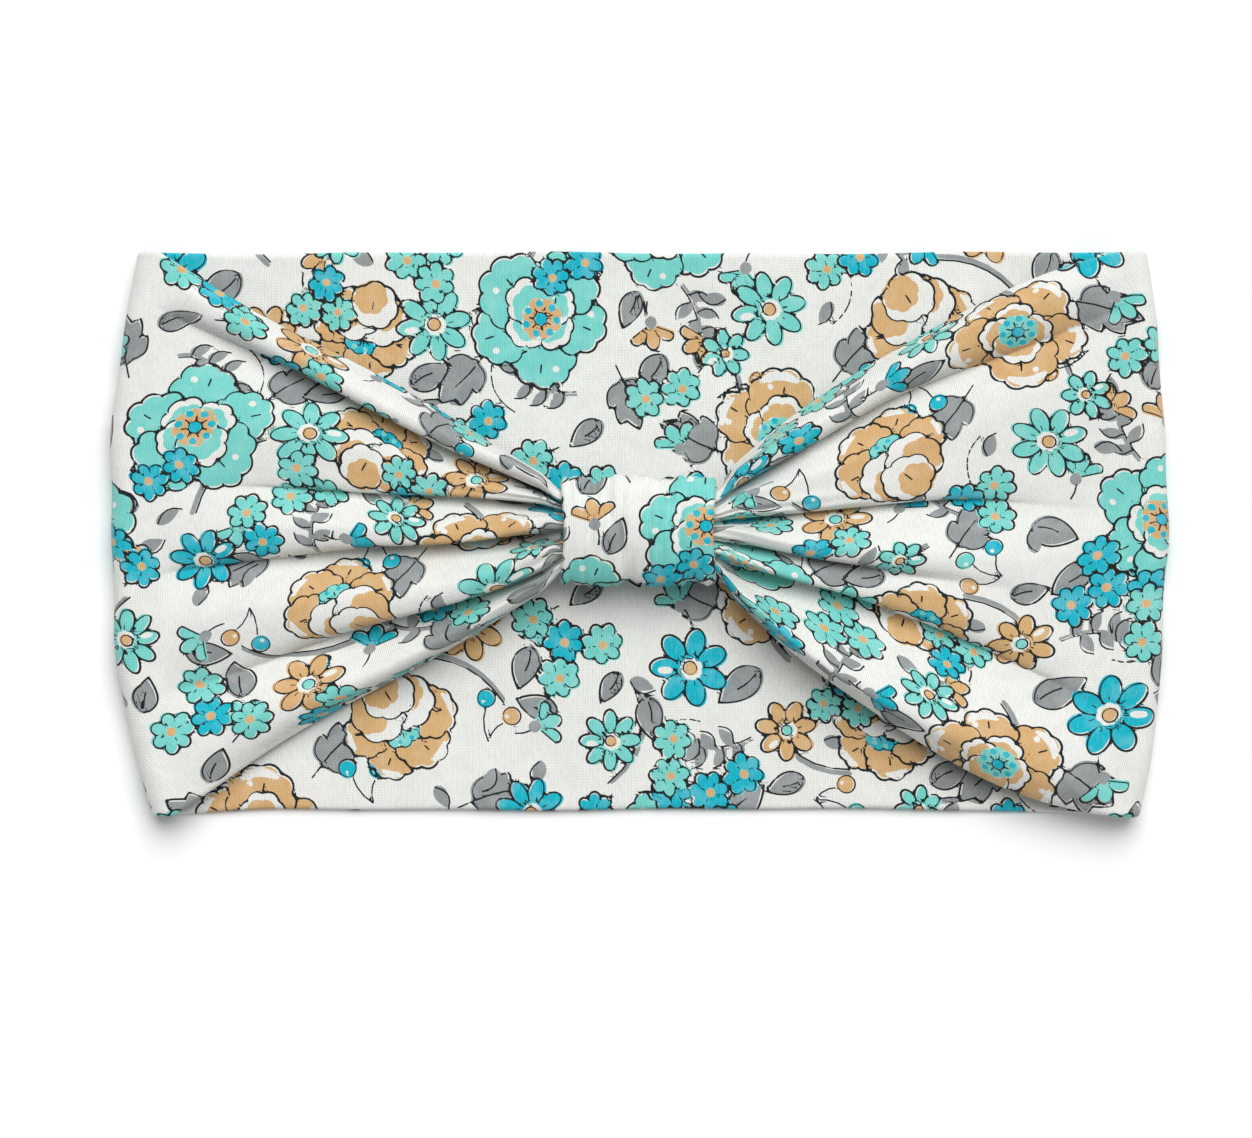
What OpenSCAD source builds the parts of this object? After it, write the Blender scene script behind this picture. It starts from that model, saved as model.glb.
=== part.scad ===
// Wide knotted headband: a loop of jersey lying flat, gathered at the middle of its front by a
// short wrap. Millimetres. X runs along the loop, Y across the band, Z up from the surface that
// the back of the loop lies on. The origin is under the middle of the band.
//
// The loop is one long strip, sewn into a flat two-layer tube. It lies in a single layer of tube
// at the back, turns over at each side, and comes forward over itself. The two ends of the tube
// are gathered, sewn to each other at the middle of the front and hidden by the wrap.

/* [Band] */
// Length of the band lying flat, from one side fold to the other
band_l = 240; // [180:1:300]
// Width of the band, across the tube
band_w = 127; // [70:1:170]
// Thickness of one layer of jersey
cloth_t = 0.7; // [0.5:0.05:1.2]
// Height of the head opening when the band lies flat
opening_h = 5.4; // [4.6:0.1:12]

/* [Gathers] */
// Width of the gathered ends inside the wrap
core_w = 21; // [14:0.5:40]
// Height of the gathered ends inside the wrap
core_h = 5.6; // [4:0.1:12]
// How much higher the gathers stand just outside the wrap
bulge_h = 2.2; // [0:0.1:5]
// Depth of the furrows between the pleats
furrow_h = 2.4; // [0:0.1:3]
// Number of pleats across each side of the front
pleats = 5; // [2:1:9]

/* [Wrap] */
// Length of the wrap along the band
wrap_l = 35; // [16:0.5:60]
// Thickness of the wrap, which is a two-layer strip
wrap_t = 1.4; // [0.8:0.1:3]
// Number of ladder stitches that close the wrap underneath
ladder_count = 8; // [3:1:14]

/* [Sewing] */
// Diameter of the thread
thread_d = 0.4; // [0.2:0.05:0.6]
// Width of each seam allowance pressed open inside the tube
allowance_w = 6; // [3:0.5:10]
// Thickness of a seam allowance
allowance_t = 0.5; // [0.3:0.05:0.8]
// Length of one stitch
stitch_l = 2.2; // [1.5:0.1:4]
// Distance from one stitch to the next
stitch_pitch = 5; // [4:0.5:10]
// Width of the winding that draws the gathered ends together
winding_w = 2.4; // [1.2:0.1:5]
// Number of turns in the winding
winding_turns = 3; // [1:1:5]

/* [Hidden] */
$fn = 48;

cloth_colour = [0.93, 0.92, 0.89];
wrap_colour = [0.45, 0.85, 0.80];
allowance_colour = [0.84, 0.83, 0.80];
thread_colour = [0.97, 0.97, 0.95];

slip = 0.1;                                // room round a thread or a seam allowance
seam_room = allowance_t + slip;            // space between the tube's two layers
tube_t = 2 * cloth_t + seam_room;          // thickness of the flat tube
slit_w = thread_d + slip;                  // the seam line in the inner layer
fold_mid_r = (opening_h + tube_t) / 2;     // middle of the tube where it turns over
fold_out_r = fold_mid_r + tube_t / 2;
back_l = band_l - 2 * fold_out_r;          // flat stretch between the two side folds
front_z = tube_t + opening_h;              // underside of the front
wrap_fit = 0.15;                           // room between the wrap and the gathered ends
part_gap = 0.3;                            // clearance between the front and the side folds

core_z = front_z + wrap_t + wrap_fit;      // underside of the gathered ends
core_mid_z = core_z + core_h / 2;

panel_out_x = back_l / 2 - part_gap;       // outer end of a front panel
panel_in_x = winding_w / 2;                // inner end, at the winding
spread_l = panel_out_x - wrap_l / 2;       // stretch over which a panel fans out
longest_neck = 14;
neck_l = min(longest_neck, spread_l / 4);  // stretch over which it swells out of the wrap
panel_columns = 30;                        // sections of a panel along X
crowding = 1.3;                            // above 1, the sections stand closer near the wrap
pleat_steps = 8;                           // points on each pleat
least_edge = 0.3;                          // blunt edge, as a share of the thickness

cut_past = 1;                              // how much longer a cut is than what it cuts
ladder_l = 3;                              // reach of one ladder stitch
tack_inset = 3;                            // from the wrap's edge to its tacks
tack_x = wrap_l / 2 - tack_inset;
tack_y = core_w / 4;
winding_pitch = winding_w / winding_turns;
winding_share = 0.85;                      // part of each pitch that its turn fills
winding_depth = 1.5 * thread_d;            // how thick the thread lies
lock_rows = 2;                             // rows of thread across the joint of the two ends
locks_in_row = 7;

// Smooth step from 0 to 1.
function ease(x) = let (c = min(1, max(0, x))) c * c * (3 - 2 * c);

// ---- the flat tube ----

// Flat shape with round ends: w across, t thick, its underside on the X axis.
module flat_slug(w, t) {
    translate([0, t / 2]) {
        square([w - t, t], center = true);
        translate([(t - w) / 2, 0]) circle(d = t);
        translate([(w - t) / 2, 0]) circle(d = t);
    }
}

// Section of the tube: two layers, joined at both edges, with the seam line in the upper layer.
module tube_section() {
    difference() {
        flat_slug(band_w, tube_t);
        translate([0, cloth_t]) flat_slug(band_w - 2 * cloth_t, seam_room);
        translate([-slit_w / 2, tube_t / 2]) square([slit_w, tube_t]);
    }
}

module back_panel() {
    color(cloth_colour)
        rotate([90, 0, 90])
            linear_extrude(back_l, center = true)
                tube_section();
}

// The tube turning over about an axis along Y. The seam line faces the head opening.
module side_fold() {
    translate([back_l / 2, 0, fold_out_r])
        rotate([-90, -90, 0])
            rotate_extrude(angle = 180)
                translate([fold_out_r, 0])
                    rotate(90)
                        tube_section();
}

module left_side_fold() {
    color(cloth_colour) mirror([1, 0, 0]) side_fold();
}

module right_side_fold() {
    color(cloth_colour) side_fold();
}

// ---- the seam along the tube ----

// The two raw edges of the strip, pressed open between the layers.
module seam_allowance() {
    color(allowance_colour)
        for (side = [-1, 1])
            translate([0, side * (allowance_w + slit_w) / 2, cloth_t + allowance_t / 2])
                cube([back_l, allowance_w, allowance_t], center = true);
}

module band_seam_stitches() {
    count = floor(back_l / stitch_pitch);
    color(thread_colour)
        for (i = [0 : count - 1])
            translate([(i - (count - 1) / 2) * stitch_pitch, 0, tube_t - cloth_t / 2])
                rotate([0, 90, 0])
                    cylinder(d = thread_d, h = stitch_l, center = true);
}

// ---- the gathered front ----

// How far the panel has fanned out at x: 0 inside the wrap, 1 at the side fold.
function fan(x) = max(0, (x - wrap_l / 2) / spread_l);
function swell(x) = ease((x - wrap_l / 2) / neck_l);

function half_w(x) = core_w / 2 + (band_w - core_w) / 2 * fan(x);
function panel_t(x) =
    tube_t + (core_h - tube_t + bulge_h * swell(x)) * (1 - ease(fan(x)));
function under_z(x) = core_z - (core_z - front_z) * swell(x);

// Share of the full thickness at y: 1 in the middle, and round towards the edge.
function round_off(x, y) =
    let (r = panel_t(x) / 2, over = max(0, abs(y) - half_w(x) + r) / r)
    max(least_edge, sqrt(max(0, 1 - over * over)));

// Depth of the furrow at v, which runs from -1 to 1 across the panel.
function furrow(x, v) =
    furrow_h * swell(x) * (1 - ease(fan(x))) * (1 + cos(180 * pleats * (v + 1))) / 2 * (1 - v * v);

function top_z(x, v) =
    under_z(x) + panel_t(x) / 2 * (1 + round_off(x, v * half_w(x))) - furrow(x, v);
function low_z(x, v) =
    under_z(x) + panel_t(x) / 2 * (1 - round_off(x, v * half_w(x)));

function panel_x(i) =
    i == 0 ? panel_in_x : wrap_l / 2 + spread_l * pow((i - 1) / (panel_columns - 1), crowding);

// Ring of points round the panel's section at x: over the top, then back underneath.
function section_ring(x, rows) = concat(
    [for (j = [0 : rows]) let (v = 2 * j / rows - 1) [x, v * half_w(x), top_z(x, v)]],
    [for (j = [rows : -1 : 0]) let (v = 2 * j / rows - 1) [x, v * half_w(x), low_z(x, v)]]
);

module gathered_panel() {
    rows = pleats * pleat_steps;
    ring = 2 * (rows + 1);
    points = [for (i = [0 : panel_columns]) each section_ring(panel_x(i), rows)];
    walls = [
        for (i = [0 : panel_columns - 1], k = [0 : ring - 1])
            let (a = i * ring + k, b = i * ring + (k + 1) % ring)
            each [[a, b, b + ring], [a, b + ring, a + ring]]
    ];
    caps = [
        for (j = [0 : rows - 1])
            let (a = j, b = j + 1, c = ring - 2 - j, d = ring - 1 - j, last = panel_columns * ring)
            each [[a, d, c], [a, c, b], [last + a, last + c, last + d], [last + a, last + b, last + c]]
    ];
    polyhedron(points, concat(walls, caps), convexity = 10);
}

module front_left_panel() {
    color(cloth_colour) mirror([1, 0, 0]) gathered_panel();
}

module front_right_panel() {
    color(cloth_colour) gathered_panel();
}

// Rows of thread that hold the two gathered ends together, across the gap of the winding.
module end_seam_stitches() {
    pitch_y = (core_w - core_h) / (locks_in_row - 1);
    pitch_z = core_h / (lock_rows + 1);
    color(thread_colour)
        for (row = [0 : lock_rows - 1], i = [0 : locks_in_row - 1])
            translate([
                0,
                (i - (locks_in_row - 1) / 2) * pitch_y,
                core_mid_z + (row - (lock_rows - 1) / 2) * pitch_z
            ])
                rotate([0, 90, 0])
                    cylinder(d = thread_d, h = winding_w, center = true);
}

// Section round the gathered ends, grown by more, standing across X.
module core_section(more) {
    translate([0, core_z - more])
        flat_slug(core_w + 2 * more, core_h + 2 * more);
}

module across_x(length) {
    rotate([90, 0, 90])
        linear_extrude(length, center = true)
            children();
}

module gathering_thread() {
    color(thread_colour)
        for (i = [0 : winding_turns - 1])
            translate([(i - (winding_turns - 1) / 2) * winding_pitch, 0, 0])
                across_x(winding_pitch * winding_share)
                    difference() {
                        core_section(0);
                        core_section(-winding_depth);
                    }
}

// ---- the wrap ----

module ladder_stitches() {
    pitch = wrap_l / ladder_count;
    for (i = [0 : ladder_count - 1])
        translate([(i - (ladder_count - 1) / 2) * pitch, 0, front_z + wrap_t / 2])
            rotate([90, 0, 0])
                cylinder(d = thread_d, h = ladder_l, center = true);
}

module tack_pins() {
    for (x = [-tack_x, tack_x], y = [-tack_y, tack_y])
        translate([x, y, front_z])
            cylinder(d = 2 * thread_d, h = wrap_t + wrap_fit);
}

// A band round the gathered ends. Its own two ends butt at a slit underneath.
module centre_wrap() {
    color(wrap_colour)
        difference() {
            across_x(wrap_l)
                difference() {
                    core_section(wrap_t + wrap_fit);
                    core_section(wrap_fit);
                }
            translate([0, 0, front_z])
                cube([wrap_l + cut_past, slit_w, 2 * (wrap_t + wrap_fit)], center = true);
            ladder_stitches();
            tack_pins();
        }
}

module wrap_closing_stitches() {
    color(thread_colour) ladder_stitches();
}

module wrap_tacks() {
    color(thread_colour) tack_pins();
}

back_panel();
left_side_fold();
right_side_fold();
seam_allowance();
band_seam_stitches();
front_left_panel();
front_right_panel();
end_seam_stitches();
gathering_thread();
centre_wrap();
wrap_closing_stitches();
wrap_tacks();
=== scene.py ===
import math

import bpy
import numpy as np
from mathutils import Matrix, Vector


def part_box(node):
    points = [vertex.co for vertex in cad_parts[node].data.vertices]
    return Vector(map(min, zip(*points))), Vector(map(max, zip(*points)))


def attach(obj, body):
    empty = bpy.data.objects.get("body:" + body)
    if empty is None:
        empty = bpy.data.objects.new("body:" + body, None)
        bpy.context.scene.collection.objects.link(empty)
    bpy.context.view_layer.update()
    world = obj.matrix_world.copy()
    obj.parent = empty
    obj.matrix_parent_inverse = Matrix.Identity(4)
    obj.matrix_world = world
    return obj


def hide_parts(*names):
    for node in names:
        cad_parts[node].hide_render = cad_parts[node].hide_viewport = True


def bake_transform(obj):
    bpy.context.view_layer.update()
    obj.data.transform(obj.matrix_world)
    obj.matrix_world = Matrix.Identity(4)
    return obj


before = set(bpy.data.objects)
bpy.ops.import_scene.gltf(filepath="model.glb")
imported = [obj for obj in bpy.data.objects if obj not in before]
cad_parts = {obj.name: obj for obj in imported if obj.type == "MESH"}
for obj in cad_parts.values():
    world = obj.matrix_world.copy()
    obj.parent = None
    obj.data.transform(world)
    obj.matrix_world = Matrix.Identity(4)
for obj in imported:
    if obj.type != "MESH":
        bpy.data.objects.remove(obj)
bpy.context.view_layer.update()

# Everything below is worked out in millimetres, in the frame of the CAD model: X along the band, Y across it,
# Z up. A surface is a grid of points, rows along the band and columns across it.


def cadSize(node):
    low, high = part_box(node)
    return np.array(low) * 1000, np.array(high) * 1000


backLow, backHigh = cadSize("back_panel")
foldLow, foldHigh = cadSize("right_side_fold")
wrapLow, wrapHigh = cadSize("centre_wrap")

band = {
    "halfLength": foldHigh[0],
    "halfWidth": backHigh[1],
    "thickness": backHigh[2] - backLow[2],
    "frontTop": foldHigh[2],     # top of the front where it leaves the side fold
    "wrapEnd": wrapHigh[0],
    "backPitch": 0.7,            # distance between neighbouring columns and rows of points on the back
    "frontPitch": 0.5,           # the same on the front
    "backBend": 9,               # rows of points round the back's quarter of each side fold
    "frontBend": 12,             # rows round the front's quarter
    "edgeColumns": 4,            # columns round each folded long edge
    "seamWidth": 1.6,            # groove of the seam along the middle of the inner side
    "seamDepth": 0.45,
    "sideRoom": 0.5,             # how far the side folds stay inside the full length
    "cornerDrop": 1.5,           # how far the two lower corners hang below the straight edge
    "waves": 0.45,               # height of the wide waves in the back, and of the small ones
    "ripples": 0.12,
    "riseFrom": 9,               # how far in from its end the front starts to rise with the wrap
}
band["foldRadius"] = (band["frontTop"] - band["thickness"]) / 2
band["backMiddle"] = band["thickness"] / 2
band["frontMiddle"] = band["backMiddle"] + 2 * band["foldRadius"]


def smooth(x):  # 0 below 0, 1 above 1, and an S curve between them
    x = np.clip(x, 0, 1)
    return x * x * (3 - 2 * x)


def mix(a, b, share):
    return a + (b - a) * share


# Volume inside a closed mesh: the sum of the tetrahedra from the origin to each face, fanned from its first
# corner. It is negative when the faces look inwards.
def signedVolume(points, faces):
    total = 0.0
    for k in range(1, faces.shape[1] - 1):
        a, b, c = points[faces[:, 0]], points[faces[:, k]], points[faces[:, k + 1]]
        total += np.einsum("ij,ij->i", a, np.cross(b, c)).sum()
    return total


def ringFaces(rows, ring, closedRows=False):  # quads between each row of points and the next, round a ring
    r = np.arange(rows if closedRows else rows - 1)[:, None]
    c = np.arange(ring)[None, :]
    nextRow, nextColumn = (r + 1) % rows, (c + 1) % ring
    corners = [r * ring + c, r * ring + nextColumn, nextRow * ring + nextColumn, nextRow * ring + c]
    return np.stack(corners, -1).reshape(-1, 4)


def makeMesh(name, points, faces, extraFaces=(), cloth=None, sharpRings=()):
    if signedVolume(points, faces) < 0:
        faces = faces[:, ::-1]
        extraFaces = [face[::-1] for face in extraFaces]
    mesh = bpy.data.meshes.new(name)
    mesh.from_pydata((points * 0.001).tolist(), [], faces.tolist() + [list(f) for f in extraFaces])
    mesh.polygons.foreach_set("use_smooth", np.ones(len(mesh.polygons), bool))
    if cloth is not None:
        corner = np.zeros(len(mesh.loops), np.int32)
        mesh.loops.foreach_get("vertex_index", corner)
        layer = mesh.uv_layers.new(name="cloth")
        layer.data.foreach_set("uv", cloth[corner].astype(np.float32).ravel())
    if sharpRings:
        ends = np.zeros(len(mesh.edges) * 2, np.int32)
        mesh.edges.foreach_get("vertices", ends)
        ends = ends.reshape(-1, 2)
        sharp = np.zeros(len(mesh.edges), bool)
        for first, last in sharpRings:
            sharp |= ((ends >= first) & (ends < last)).all(1)
        attribute = mesh.attributes.new("sharp_edge", "BOOLEAN", "EDGE")
        attribute.data.foreach_set("value", sharp)
    mesh.update()
    piece = bpy.data.objects.new(name, mesh)
    bpy.context.scene.collection.objects.link(piece)
    return piece


# A flattened tube as one closed mesh. The fine side has every column, the coarse side every second one, and
# they share the two outermost columns, where the cloth folds. Each open end is capped.
def flatTube(name, fine, coarse, fineCloth, coarseCloth):
    rows, columns = fine.shape[:2]
    kept = np.arange(columns - 3, 0, -2)
    points = np.concatenate([fine, coarse[:, kept]], 1)
    cloth = np.concatenate([fineCloth, coarseCloth[:, kept]], 1)
    ring = points.shape[1]
    caps = []
    for start, turn in ((0, 1), ((rows - 1) * ring, -1)):
        under = [0] + [ring - k for k in range(1, len(kept) + 1)] + [columns - 1]
        for k in range(len(under) - 1):
            face = [2 * k, 2 * k + 1, 2 * k + 2, under[k + 1], under[k]]
            face = [start + v for i, v in enumerate(face) if v not in face[:i]]
            caps.append(face[::-turn])
    piece = makeMesh(
        name, points.reshape(-1, 3), ringFaces(rows, ring), caps, cloth.reshape(-1, 2),
        [(0, ring), ((rows - 1) * ring, rows * ring)],
    )
    drawPrint(piece, cloth.reshape(-1, 2))
    return piece


# The cloth's own coordinates are u along the band and v across it, in millimetres. For each point of a mesh
# the print keeps how far it is inside or outside each colour, and the way to the nearest ink line. Between
# points these change evenly, so the shader can cut crisp edges out of them.

printRepeat = {
    "along": 118,      # size of the repeat
    "across": 109,
    "drop": 54.5,      # how far each next column of repeats is moved across
}
mint, teal, tan, grey, white = range(5)
farAway = 5.0      # distances beyond this are not kept
inkReach = 0.7     # a line shows only this near to its middle, which cuts it off where a shape hides it
inkWeave = 0.24    # how much the weight of an outline swings on the way round a shape


def newSheet(cloth):
    count = len(cloth)
    return {
        "u": cloth[:, 0],
        "v": cloth[:, 1],
        "fill": np.full((count, 4), farAway),
        "toInk": np.full((count, 2), farAway),
        "reach": np.full(count, farAway),
    }


def at(spot, x, y, turn=0.0):  # the same points seen from a spot moved by x, y and turned
    index, p, q = spot
    c, s = math.cos(math.radians(turn)), math.sin(math.radians(turn))
    return index, (p - x) * c + (q - y) * s, (q - y) * c - (p - x) * s


def spotOn(sheet, x, y, turn, radius):  # points within a radius of a place in the repeat
    column = np.round((sheet["u"] - x) / printRepeat["along"])
    du = sheet["u"] - x - column * printRepeat["along"]
    dv = sheet["v"] - y - column * printRepeat["drop"]
    dv = dv - np.round(dv / printRepeat["across"]) * printRepeat["across"]
    index = np.nonzero(du * du + dv * dv < radius * radius)[0]
    return at((index, du[index], dv[index]), 0, 0, turn)


# Keeps a line where it is nearer than the ones before. x, y lead to its nearest point, and weight 1 is a
# full line.
def addInk(sheet, index, x, y, weight=1.0):
    reach = np.hypot(x, y)
    near = reach < sheet["reach"][index]
    chosen = index[near]
    sheet["reach"][chosen] = reach[near]
    sheet["toInk"][chosen, 0] = (x / weight)[near]
    sheet["toInk"][chosen, 1] = (y / weight)[near]


# Distance to a shape's edge, negative inside, and the way there: the shape's value over its slope.
def measure(shape, p, q):
    step = 0.04
    value = shape(p, q)
    slopeX = (shape(p + step, q) - value) / step
    slopeY = (shape(p, q + step) - value) / step
    steep = np.maximum(slopeX**2 + slopeY**2, 0.15)
    return value / np.sqrt(steep), -value * slopeX / steep, -value * slopeY / steep


# Lays a shape over what is there. ink is the weight of its outline, which is heavier towards one side, and
# slip is how far the outline has moved from the colour. Without hide, older ink shows through.
def paint(sheet, spot, shape, colour, ink=0.0, slip=(0.45, -0.35), hide=True):
    index, p, q = spot
    distance = measure(shape, p, q)[0]
    for k in range(4):
        sheet["fill"][index, k] = np.maximum(sheet["fill"][index, k], -distance)
    if colour != white:
        sheet["fill"][index, colour] = np.minimum(sheet["fill"][index, colour], distance)
    if hide:
        covered = index[distance < 0]
        sheet["reach"][covered] = np.maximum(sheet["reach"][covered], inkReach * 1.6)
    if ink:
        distance, x, y = measure(shape, p - slip[0], q - slip[1])
        facing = (0.6 * y - 0.8 * x) / np.where(np.abs(distance) < 0.001, 0.001, distance)
        addInk(sheet, index, x, y, ink * (1 - inkWeave / 2 + inkWeave * np.clip(facing, -1, 1)))


def disc(radius):  # distance from the middle, less the radius
    return lambda p, q: np.hypot(p, q) - radius


def oval(x, y, halfLength, halfWidth):  # a disc stretched along each axis
    def shape(p, q):
        a, b = (p - x) / halfLength, (q - y) / halfWidth
        return (np.hypot(a, b) - 1) * min(halfLength, halfWidth)
    return shape


def folded(p, q, count, turn=0.0):  # folds the plane into one of count equal wedges, centred on the X axis
    angle = np.arctan2(q, p) - math.radians(turn)
    wedge = 2 * math.pi / count
    angle = angle - np.round(angle / wedge) * wedge
    r = np.hypot(p, q)
    return r * np.cos(angle), r * np.sin(angle)


# Disc with rounded lobes: the radius swings between a notch and the top of each lobe, and uneven makes one
# side of the flower larger than the other.
def scallop(radius, lobes, depth, turn=0.0, uneven=0.0):
    def shape(p, q):
        angle = np.arctan2(q, p) - math.radians(turn)
        lobe = np.abs(np.cos(lobes * angle / 2))
        sway = uneven * (np.sin(2 * angle + turn) + np.sin(3 * angle + 2 * turn))
        return np.hypot(p, q) - radius * (1 - depth + depth * lobe**0.7 + sway)
    return shape


# Ring of oval petals round a disc: one petal in a wedge, and the wedge repeated.
def petalRing(radius, count, fat, turn=0.0):
    petal = oval(radius * 0.63, 0, radius * 0.37, radius * fat)

    def shape(p, q):
        a, b = folded(p, q, count, turn)
        return np.minimum(petal(a, b), np.hypot(p, q) - radius * 0.34)
    return shape


def ringOf(shapeInWedge, count, turn=0.0):  # the same shape in every wedge
    return lambda p, q: shapeInWedge(*folded(p, q, count, turn))


# Part of a ring between two shares of the radius: its half width shrinks as a circle does towards its ends.
def crescent(radius, halfAngle, inside, outside):
    def shape(p, q):
        angle = np.abs(np.arctan2(q, p)) / math.radians(halfAngle)
        half = radius * (outside - inside) / 2 * np.sqrt(np.clip(1 - angle**2, 0, 1))
        offMiddle = np.abs(np.hypot(p, q) - radius * (inside + outside) / 2)
        return offMiddle - half + radius * 0.2 * np.maximum(angle - 1, 0)
    return shape


# Shape from 0 to length along X, as wide at each share of its length as halfAt says.
def bladeShape(length, halfAt):
    def shape(p, q):
        outside = np.abs(q) - halfAt(np.clip(p / length, 0, 1))
        beyond = np.maximum(np.maximum(-p, p - length), 0)
        return np.hypot(np.maximum(outside, 0), beyond) + np.minimum(outside, 0)
    return shape


def leafShape(length, width):  # round at both ends: the half width swells and closes like a sine
    return bladeShape(length, lambda s: width / 2 * np.sin(math.pi * s**0.85) ** 0.8)


def pointedShape(length, width):  # with a sharp tip: the half width rises and falls as a parabola
    return bladeShape(length, lambda s: width * 2 * s**0.75 * (1 - s**0.75))


def lobedLeafShape(length, width):  # a long lobe and a pair of shorter ones on each side
    middle, side = leafShape(length, width * 0.55), leafShape(length * 0.52, width * 0.36)

    def shape(p, q):
        best = middle(p, q)
        for x, turn in ((0.08, 48), (0.36, 36)):
            _, a, b = at((0, p, np.abs(q)), length * x, 0, turn)
            best = np.minimum(best, side(a, b))
        return best
    return shape


def bent(length, rise, steps=6):  # points of a shallow arc from 0 to length along X, standing up by rise
    return [(length * k / steps, rise * 4 * k / steps * (1 - k / steps)) for k in range(steps + 1)]


def inkPath(sheet, spot, path, weight=1.0, dash=None):  # path is a few points, joined by straight lines
    index, p, q = spot
    start = 0.0
    for (ax, ay), (bx, by) in zip(path[:-1], path[1:]):
        length = math.hypot(bx - ax, by - ay)
        share = np.clip(((p - ax) * (bx - ax) + (q - ay) * (by - ay)) / length**2, 0, 1)
        if dash:
            along = start + share * length
            cell = np.round(along / dash) * dash
            share = np.clip((np.clip(along, cell - dash * 0.3, cell + dash * 0.3) - start) / length, 0, 1)
        addInk(sheet, index, ax + share * (bx - ax) - p, ay + share * (by - ay) - q, weight)
        start += length


# A short line along the middle of each wedge, from first to last away from the centre.
def wedgeLine(sheet, spot, count, first, last, turn=0.0, weight=0.7):
    index, p, q = spot
    a, b = folded(p, q, count, turn)
    addInk(sheet, index, np.clip(a, first, last) - a, -b, weight)


# Stem along a path: the distance to the nearest of its straight pieces, less half its width.
def stemShape(path, halfWidth):
    def shape(p, q):
        best = np.full(p.shape, farAway * 4)
        for (ax, ay), (bx, by) in zip(path[:-1], path[1:]):
            share = ((p - ax) * (bx - ax) + (q - ay) * (by - ay)) / ((bx - ax) ** 2 + (by - ay) ** 2)
            share = np.clip(share, 0, 1)
            best = np.minimum(best, np.hypot(ax + share * (bx - ax) - p, ay + share * (by - ay) - q))
        return best - halfWidth
    return shape


def leaf(sheet, spot, length, width):
    paint(sheet, spot, pointedShape(length, width), grey, 0.95)
    inkPath(sheet, at(spot, length * 0.15, 0), bent(length * 0.45, width * 0.05, 3), 0.8)


def smallLeaf(sheet, spot, length, way=1):  # inked along one edge only
    paint(sheet, spot, pointedShape(length, length * 0.52), grey)
    inkPath(sheet, at(spot, 0.3, -0.3), bent(length, way * length * 0.29, 4), 0.75)


def lobedLeaf(sheet, spot, length, width):
    paint(sheet, spot, lobedLeafShape(length, width), grey, 0.9)
    inkPath(sheet, spot, [(-3, 0), (length * 0.3, 0.4), (length * 0.65, 0)], 0.8)


def daisy(sheet, spot, radius, petals, petal, heart):
    paint(sheet, spot, petalRing(radius, petals, 1.75 / petals), petal, 1.0)
    paint(sheet, spot, oval(radius * 0.66, radius * 0.04, radius * 0.2, radius * 0.09), white, hide=False)
    wedgeLine(sheet, spot, petals, radius * 0.34, radius * 0.46, 0, 0.5)
    paint(sheet, spot, scallop(radius * 0.29, petals, 0.16), white)
    paint(sheet, spot, disc(radius * 0.17), heart, 0.7, (0.3, -0.2))


def pompon(sheet, spot, radius, colour, turn=0.0):
    paint(sheet, spot, scallop(radius, 7, 0.34, turn, 0.03), colour, 0.95, (0.4, -0.3))
    wedgeLine(sheet, spot, 4, radius * 0.34, radius * 0.5, turn + 22, 0.55)
    paint(sheet, spot, disc(radius * 0.22), tan)


def cluster(sheet, spot, radius, colours, places):  # small flowers side by side, places counted in radii
    for colour, (x, y) in zip(colours, places):
        pompon(sheet, at(spot, x * radius, y * radius), radius, colour, 13 * x)


# Garden rose in three-quarter view: broad scalloped petals laid one over the next, some with a pale turned
# edge, then a cup of smaller ones, and a dotted heart.
def rose(sheet, spot, radius, petal, heart, middle, pale):
    outer = ((75, 0.54, 0.48), (150, 0.46, 0.46), (8, 0.58, 0.44), (215, 0.52, 0.5), (300, 0.44, 0.56))
    cup = ((110, 0.22, 0.32), (200, 0.24, 0.3), (20, 0.24, 0.32), (290, 0.24, 0.36))
    for turn, out, size in outer:
        lobe = at(at(spot, 0, 0, turn), out * radius, 0)
        paint(sheet, lobe, scallop(size * radius, 9, 0.13, turn), petal, 1.0, (0.5, -0.4))
        if pale:
            paint(sheet, lobe, crescent(size * radius, 42, 0.68, 0.94), white)
        paint(sheet, lobe, oval(size * radius * 0.5, radius * 0.14, radius * 0.05, radius * 0.05), white)
        inkPath(sheet, lobe, [(radius * 0.16, -radius * 0.06), (radius * 0.27, -radius * 0.08)], 0.8)
    for turn, out, size in cup:
        lobe = at(at(spot, 0, 0, turn), out * radius, 0)
        paint(sheet, lobe, scallop(size * radius, 7, 0.15, turn), white, 0.9, (0.1, -0.1))
        lobe = at(lobe, -size * radius * 0.2, 0)
        paint(sheet, lobe, scallop(size * radius * 0.86, 7, 0.13, turn), petal, hide=False)
    core = at(spot, 0.02 * radius, 0.05 * radius)
    paint(sheet, core, scallop(radius * 0.3, 8, 0.15, 0, 0.03), heart)
    paint(sheet, core, ringOf(oval(radius * 0.22, 0, radius * 0.055, radius * 0.055), 7), middle)
    wedgeLine(sheet, core, 7, radius * 0.1, radius * 0.17, 25, 0.7)
    paint(sheet, core, disc(radius * 0.09), middle, 0.6, (0.15, -0.1))


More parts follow.
